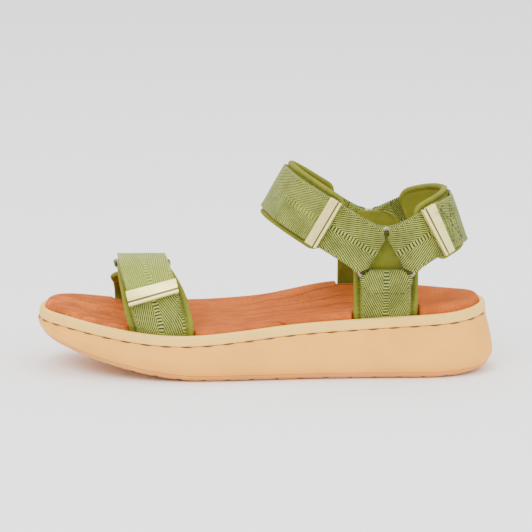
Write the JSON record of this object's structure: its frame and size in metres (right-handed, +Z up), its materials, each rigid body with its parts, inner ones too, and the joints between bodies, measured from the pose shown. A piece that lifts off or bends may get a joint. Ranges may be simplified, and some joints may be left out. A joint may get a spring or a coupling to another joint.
{
  "type": "sandal",
  "caption": "Left sport sandal: stitched cup sole, contoured suede footbed, webbing forefoot strap and ankle straps on triangular rings, with hinged flaps.",
  "frame": {"origin": "middle of the sole's box in plan, on the surface that the sandal stands on", "axes": "+X towards the heel, -X towards the toe, +Y towards the inner side of the foot, +Z up"},
  "size_m": [0.265, 0.0982, 0.1217],
  "materials": {
    "outsole_rubber": "matte, moulded",
    "midsole_foam": "matte foam",
    "rand_foam": "matte foam, paler",
    "thread": "brown twisted thread",
    "board": "fibre board",
    "core_foam": "soft foam",
    "suede": "napped suede",
    "webbing": "herringbone webbing",
    "lining": "smooth padded textile",
    "fastener": "hook and loop tape",
    "tip_metal": "polished pale gold",
    "ring_wire": "polished pale wire"
  },
  "bodies": {
    "sole_and_straps": {"footbed_core": "core_foam", "footbed_cover": "suede", "forefoot_inner_lining": "lining", "forefoot_inner_webbing": "webbing", "forefoot_lining": "lining", "forefoot_loop_patch": "fastener", "forefoot_webbing": "webbing", "heel_inner_webbing": "webbing", "heel_loop_patch": "fastener", "heel_pad": "lining", "heel_stub": "webbing", "inner_anchor_lining": "lining", "inner_anchor_webbing": "webbing", "insole_board": "board", "instep_inner_webbing": "webbing", "instep_loop_patch": "fastener", "instep_pad": "lining", "instep_stub": "webbing", "midsole": "midsole_foam", "outer_anchor_lining": "lining", "outer_anchor_webbing": "webbing", "outsole": "outsole_rubber", "rand_band": "rand_foam", "rand_stitching": "thread"},
    "forefoot_flap": {"forefoot_flap": "webbing", "forefoot_hook_patch": "fastener", "forefoot_tip": "tip_metal"},
    "instep_flap": {"instep_flap": "webbing", "instep_hook_patch": "fastener", "instep_tip": "tip_metal"},
    "heel_flap": {"heel_flap": "webbing", "heel_hook_patch": "fastener", "heel_tip": "tip_metal"},
    "outer_ring": {"outer_ring": "ring_wire"},
    "inner_ring": {"inner_ring": "ring_wire"},
    "forefoot_ring": {"forefoot_ring": "ring_wire"}
  },
  "joints": [
    {"name": "forefoot_flap_open", "type": "hinge", "parent": "sole_and_straps", "child": "forefoot_flap", "pos_m": [-0.0721, 0.0129, 0.06339], "axis": [-1, 0.0028, -0.0014], "range_deg": [0, 140]},
    {"name": "instep_flap_open", "type": "hinge", "parent": "sole_and_straps", "child": "instep_flap", "pos_m": [0.01457, -0.0251, 0.10124], "axis": [-0.5, 0, -0.866], "range_deg": [0, 110]},
    {"name": "heel_flap_open", "type": "hinge", "parent": "sole_and_straps", "child": "heel_flap", "pos_m": [0.11022, -0.02214, 0.09072], "axis": [-0.3519, 0.0177, 0.9359], "range_deg": [0, 110]},
    {"name": "outer_ring_tilt", "type": "hinge", "parent": "sole_and_straps", "child": "outer_ring", "pos_m": [0.069, -0.03577, 0.06], "axis": [1, 0, 0], "range_deg": [-1.8, 1.8]},
    {"name": "inner_ring_tilt", "type": "hinge", "parent": "sole_and_straps", "child": "inner_ring", "pos_m": [0.061, 0.02523, 0.06], "axis": [1, 0, 0], "range_deg": [-1.8, 1.8]},
    {"name": "forefoot_ring_tilt", "type": "hinge", "parent": "sole_and_straps", "child": "forefoot_ring", "pos_m": [-0.07197, 0.01987, 0.0552], "axis": [0.9999, -0.0136, 0.0079], "range_deg": [-4, 4]}
  ]
}
